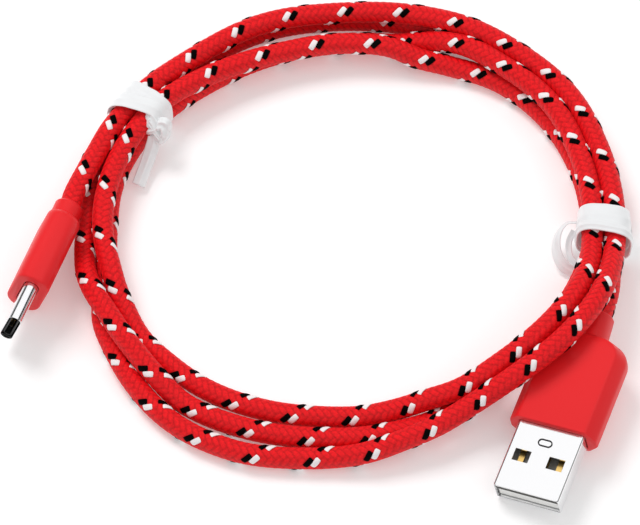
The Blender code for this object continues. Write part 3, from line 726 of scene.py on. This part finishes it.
def usb_c_moulding():
    width, height, length = C_MOULD
    half_x, half_z = width / 2, height / 2
    rows = [
        (0.0, half_x - 0.35, half_z - 0.35, 2.3),
        (-0.15, half_x - 0.12, half_z - 0.12, 2.5),
        (-0.4, half_x, half_z, C_CORNER),
        (-length + C_REAR_ROUND, half_x, half_z, C_CORNER),
    ]
    for step in range(1, 7):
        turn = math.radians(90 * step / 6)
        drop = 1.5 * (1 - math.cos(turn))
        y = -length + C_REAR_ROUND * (1 - math.sin(turn))
        rows.append((y, half_x - drop, half_z - 0.3 * drop, C_CORNER))
    rows += [
        (-length - 0.15, C_NECK_RADIUS + 0.1, C_NECK_RADIUS + 0.05, C_NECK_RADIUS),
        (-length - 0.5, C_NECK_RADIUS, C_NECK_RADIUS, C_NECK_RADIUS),
        (-length - C_NECK_LENGTH + 0.4, C_NECK_RADIUS, C_NECK_RADIUS, C_NECK_RADIUS),
        (-length - C_NECK_LENGTH, C_NECK_RADIUS - 0.3, C_NECK_RADIUS - 0.3, C_NECK_RADIUS),
    ]
    sections = []
    for y, across, up, corner in reversed(rows):
        sections.append([(x, y, z) for x, z in rounded(across, up, corner, 8)])
    body = mesh_object("plug_c_moulding", *skin(sections), MOULD, PLUG_C, 40.0)
    mouth = rounded(C_SHELL[0] / 2 + 0.12, C_SHELL[1] / 2 + 0.12, 1.4)
    room = bar("room", rounded(*C_CAVITY_HALF, 1.6, 3), -C_CAVITY_END, -1.5, MOULD, PLUG_C)
    hole = bar("mouth", mouth, -1.8, 1.0, MOULD, PLUG_C)
    rear = -length - C_NECK_LENGTH - 1.0
    bore = bar("bore", rounded(2.0, 2.0, 2.0), rear, -C_CAVITY_END + 0.3, MOULD, PLUG_C)
    return cut(body, [room, hole, bore])


def usb_c_shell():
    half_x, half_z = C_SHELL[0] / 2, C_SHELL[1] / 2
    outer = rounded(half_x, half_z, half_z, 10)
    inner = rounded(half_x - C_SHELL_WALL, half_z - C_SHELL_WALL, half_z, 10)
    out_rows = [(-C_SHELL_IN, 0.0), (C_SHELL_OUT - 0.3, 0.0), (C_SHELL_OUT - 0.1, 0.05)]
    out_rows.append((C_SHELL_OUT, 0.12))
    in_rows = [(C_SHELL_OUT, -0.03), (C_SHELL_OUT - 0.15, 0.0), (-C_SHELL_IN, 0.0)]
    return lipped_sleeve("plug_c_shell", outer, inner, out_rows, in_rows, STEEL, PLUG_C)


plug_c_moulding = usb_c_moulding()
plug_c_shell = usb_c_shell()
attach(plug_c_moulding, "plug_c")
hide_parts("usb_c_overmould")
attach(plug_c_shell, "plug_c")
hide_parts("usb_c_shell")

# ---- Tails ---------------------------------------------------------------------------------------


def declare_tail(piece, yarns, node):
    for part in (piece, *yarns):
        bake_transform(part)
    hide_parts(node)


declare_tail(
    tail_a,
    yarns_a,
    "cable_tail_a",
)
declare_tail(
    tail_c,
    yarns_c,
    "cable_tail_c",
)

# ---- Ties ----------------------------------------------------------------------------------------

STRIP_PROFILE = [
    (-1.0, 0.0),
    (-0.96, 0.32),
    (-0.8, 0.42),
    (-0.3, 0.45),
    (-0.16, 0.8),
    (0.0, 0.95),
    (0.16, 0.8),
    (0.3, 0.45),
    (0.8, 0.42),
    (0.96, 0.32),
    (1.0, 0.0),
    (0.96, -0.32),
    (0.8, -0.42),
    (0.0, -0.45),
    (-0.8, -0.42),
    (-0.96, -0.32),
]


def ribbon(path, outs, half_width, thickness, crumple=0.0, seed=0.0):
    """Points of a strip along a path, its face looking along outs, in millimetres."""
    path = np.asarray(path, float)
    outs = np.asarray(outs, float)
    ahead = np.gradient(path, axis=0)
    ahead /= np.linalg.norm(ahead, axis=1)[:, None]
    across = np.cross(ahead, outs)
    across /= np.linalg.norm(across, axis=1)[:, None]
    outs = np.cross(across, ahead)
    points = []
    for i, middle in enumerate(path):
        for share, level in STRIP_PROFILE:
            shift = noise.noise(Vector((i * 0.09 + seed, share * 0.9, seed))) * crumple
            spread = half_width * (1 + 0.06 * noise.noise(Vector((i * 0.15, seed, 3.0))))
            points.append(
                middle + across[i] * share * spread + outs[i] * (level * thickness + shift)
            )
    return points


def strip_object(name, points):
    sides = len(STRIP_PROFILE)
    return tube_mesh(name, np.array(points), sides, TIE_PLASTIC_PAINTED_GLOW)


def wrap_path(azimuth, radius, turns, start, low, high, clearance, skew=(0.0, 0.0), count=120):
    """A strip's winding round the bundle: start is in degrees round it, low and high along it.

    The skew moves its inner and outer sides along the bundle.
    """
    turn = math.radians(azimuth)
    outward = np.array([math.cos(turn), math.sin(turn), 0.0])
    along = np.array([-math.sin(turn), math.cos(turn), 0.0])
    up = np.array([0.0, 0.0, 1.0])
    centre = outward * radius + up * BUNDLE_MIDDLE
    path, outs = [], []
    for step in range(count + 1):
        share = step / count
        angle = math.radians(start + 360 * turns * share)
        grow = clearance + 0.28 * share * turns
        c, s = math.cos(angle), math.sin(angle)
        flat = (abs(c) / (BUNDLE_HALF[0] + grow)) ** BUNDLE_SQUARENESS
        tall = (abs(s) / (BUNDLE_HALF[1] + grow)) ** BUNDLE_SQUARENESS
        reach = (flat + tall) ** (-1 / BUNDLE_SQUARENESS)
        place = centre + outward * c * reach + up * s * reach
        place[2] = max(place[2], 0.22)
        shift = skew[0] * (1 - c) / 2 + skew[1] * (1 + c) / 2
        path.append(place + along * (low + (high - low) * share + shift))
        outs.append(outward * c + up * s)
    return path, outs


def curve_path(points, count):
    knots = np.array(points, float)
    run = np.concatenate([[0.0], np.cumsum(np.linalg.norm(np.diff(knots, axis=0), axis=1))])
    return smooth_through(run, knots, np.linspace(0, run[-1], count))


def lobes(centre, across, rise, size, count=90):
    """A strip's path through a knot: two lobes beside each other, gone round twice."""
    path, outs = [], []
    middle = np.array(centre)
    across, rise = np.array(across), np.array(rise)
    for step in range(count):
        angle = 4 * math.pi * step / (count - 1)
        reach = size[0] * math.sin(angle)
        lift = size[1] * math.sin(2 * angle) + 0.35 * math.sin(angle / 2)
        place = middle + across * reach + rise * lift
        out = across * math.sin(angle) + rise * math.cos(2 * angle) + np.array([0.0, -0.3, 0.7])
        path.append(place)
        outs.append(out / np.linalg.norm(out))
    return path, outs


def tie_left():
    path, outs = wrap_path(
        TIE_LEFT_AZIMUTH, TIE_LEFT_RADIUS, 1.15, 200.0, -2.0, -1.9, 0.3, (0.2, -0.2)
    )
    band = strip_object("tie_left_band", ribbon(path, outs, 1.75, 0.3, 0.12, 1.0))
    path, outs = wrap_path(
        TIE_LEFT_AZIMUTH, TIE_LEFT_RADIUS, 1.1, 170.0, 1.5, 1.7, 0.62, (-2.6, 0.1)
    )
    second = strip_object("tie_left_band_2", ribbon(path, outs, 1.6, 0.3, 0.12, 5.0))
    route = [(-34.7, 18.4, 5.4), (-35.6, 16.3, 3.2), (-36.6, 13.7, 2.0), (-37.6, 10.6, 1.6)]
    tail = curve_path(route, 40)
    end = strip_object("tie_left_end", ribbon(tail, [(0.25, -0.5, 1)] * 40, 1.25, 0.4, 0.12, 9.0))
    path, outs = lobes((-34.3, 19.5, 7.4), (0.86, -0.5, -0.1), (0.1, 0.5, 0.86), (2.0, 1.15))
    knot = strip_object("tie_left_knot", ribbon(path, outs, 1.15, 0.5, 0.5, 13.0))
    path, outs = lobes((-33.9, 18.9, 6.2), (0.7, -0.66, -0.25), (0.3, 0.35, 0.88), (1.3, 0.9))
    fold = strip_object("tie_left_fold", ribbon(path, outs, 1.0, 0.5, 0.6, 41.0))
    return [band, second, end, knot, fold]


def tie_right():
    path, outs = wrap_path(
        TIE_RIGHT_AZIMUTH, TIE_RIGHT_RADIUS, 1.15, -60.0, 0.7, 0.6, 0.3, (0.5, -0.2)
    )
    band = strip_object("tie_right_band", ribbon(path, outs, 2.3, 0.3, 0.1, 21.0))
    path, outs = wrap_path(
        TIE_RIGHT_AZIMUTH, TIE_RIGHT_RADIUS, 1.1, -80.0, -1.9, -1.8, 0.5, (1.0, -0.7)
    )
    second = strip_object("tie_right_band_2", ribbon(path, outs, 0.95, 0.4, 0.1, 25.0))
    route = [(40.3, 0.8, 4.6), (38.3, 0.3, 4.8), (36.9, -1.6, 3.9)]
    route += [(36.8, -4.2, 2.7), (37.9, -6.4, 1.8), (39.8, -7.6, 1.3)]
    curl = curve_path(route, 50)
    middle = np.array([39.6, -3.0, 3.0])
    outs = [np.array([*(p - middle)[:2], 2.6]) for p in curl]
    loop = strip_object("tie_right_curl", ribbon(curl, outs, 1.15, 0.35, 0.25, 29.0))
    tail = curve_path([(39.9, -0.4, 3.9), (39.0, -1.9, 2.9), (39.2, -4.6, 1.9), (40.6, -6.6, 1.3)], 24)
    end = strip_object("tie_right_end", ribbon(tail, [(-1, -0.3, 0.7)] * 24, 0.75, 0.35, 0.15, 33.0))
    return [band, second, loop, end]


left, right = tie_left(), tie_right()
for pieces, node in ((left, "tie_left"), (right, "tie_right")):
    for piece in pieces:
        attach(piece, "root")
    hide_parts(node)

# ---- CAD nodes that stay -------------------------------------------------------------------------


def node_look(name):
    if name == "usb_a_insulator":
        return WHITE_PLASTIC_PAINTED_SHADE
    if name in ("usb_c_housing", "usb_c_resistor"):
        return BLACK_PLASTIC_AND_DIMPLE_SHADE
    if "inner_mould" in name:
        return INNER_PLASTIC
    if "contact" in name:
        return GOLD
    if "latch" in name:
        return SPRING_STEEL
    if "board" in name:
        return BOARD_GREEN
    return WIRES[name.rsplit("_", 1)[1]]


for name, node in nodes.items():
    if not node.hide_render:
        node.data.materials.clear()
        node.data.materials.append(node_look(name))

# ---- Floor and light -----------------------------------------------------------------------------

floor_look = principled(
    "floor", (0.85, 0.85, 0.85), 0.9, Emission_Color=(1.0, 1.0, 1.0, 1.0), Emission_Strength=0.22
)
bpy.ops.mesh.primitive_plane_add(size=4.0, location=(0.0, 0.0, -0.0001))
floor = bpy.context.object
floor.name = "floor"
floor.data.materials.append(floor_look)


def softbox(name, place, size, energy):
    """A square light aimed at the object, left out of reflections so that the steel stays even."""
    data = bpy.data.lights.new(name, "AREA")
    data.shape = "RECTANGLE"
    data.size, data.size_y = size
    data.energy = energy
    made = bpy.data.objects.new(name, data)
    bpy.context.collection.objects.link(made)
    made.location = place
    made.rotation_euler = (-Vector(place)).to_track_quat("-Z", "Y").to_euler()
    made.visible_glossy = False
    return made


def studio(strength):
    """Even light all round. Reflections see a floor, a dark band of walls and a bright ceiling."""
    world = bpy.data.worlds.new("studio")
    world.use_nodes = True
    tree = world.node_tree
    background = tree.nodes["Background"]
    background.inputs["Strength"].default_value = strength
    view = tree.nodes.new("ShaderNodeTexCoord")
    axes = tree.nodes.new("ShaderNodeSeparateXYZ")
    band = tree.nodes.new("ShaderNodeValToRGB")
    band.color_ramp.elements[0].position = 0.3
    band.color_ramp.elements[0].color = (0.7, 0.7, 0.7, 1.0)
    band.color_ramp.elements[1].position = 0.7
    band.color_ramp.elements[1].color = (1.85, 1.85, 1.85, 1.0)
    for edge in (0.36, 0.6):
        band.color_ramp.elements.new(edge).color = (0.02, 0.02, 0.02, 1.0)
    rays = tree.nodes.new("ShaderNodeLightPath")
    choice = tree.nodes.new("ShaderNodeMix")
    choice.data_type = "RGBA"
    choice.inputs["A"].default_value = (1.0, 1.0, 1.0, 1.0)
    tree.links.new(view.outputs["Generated"], axes.inputs["Vector"])
    tree.links.new(axes.outputs["Z"], band.inputs["Fac"])
    tree.links.new(rays.outputs["Is Glossy Ray"], choice.inputs["Factor"])
    tree.links.new(band.outputs["Color"], choice.inputs["B"])
    tree.links.new(choice.outputs["Result"], background.inputs["Color"])
    return world


softbox("key", (-0.35, 0.45, 0.8), (0.4, 0.4), 4.6)
softbox("fill", (0.6, -0.3, 0.9), (0.9, 0.9), 1.2)
bpy.context.scene.world = studio(0.62)
bpy.context.scene.view_settings.view_transform = "Standard"
bpy.context.scene.view_settings.look = "None"
